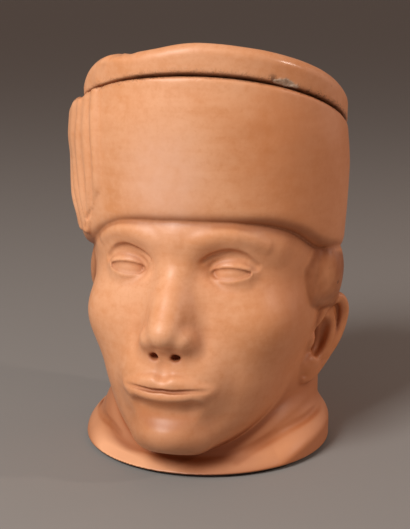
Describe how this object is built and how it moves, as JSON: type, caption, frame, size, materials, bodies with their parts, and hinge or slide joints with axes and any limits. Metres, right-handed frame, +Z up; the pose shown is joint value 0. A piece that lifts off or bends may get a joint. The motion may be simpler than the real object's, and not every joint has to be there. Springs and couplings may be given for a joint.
{
  "type": "tobacco jar",
  "caption": "Head-shaped terracotta tobacco jar: a man's head in a tall cap on a flared collar foot, whose cap crown lifts off as a skirted lid.",
  "frame": {"origin": "centre of the flat ground foot, on the surface the jar stands on", "axes": "+Z up; the face looks to -Y; the head's left side is +X"},
  "size_m": [0.1092, 0.1213, 0.158],
  "materials": {
    "terracotta_body": "unglazed matt terracotta with a faint satin sheen",
    "terracotta_lid": "unglazed matt terracotta with a faint satin sheen"
  },
  "bodies": {
    "jar": {"jar_body": "terracotta_body"},
    "lid": {"lid": "terracotta_lid"}
  },
  "joints": [
    {"name": "lid_lift", "type": "slide", "parent": "jar", "child": "lid", "axis": [0, 0, 1], "range_m": [0, 0.06]}
  ]
}
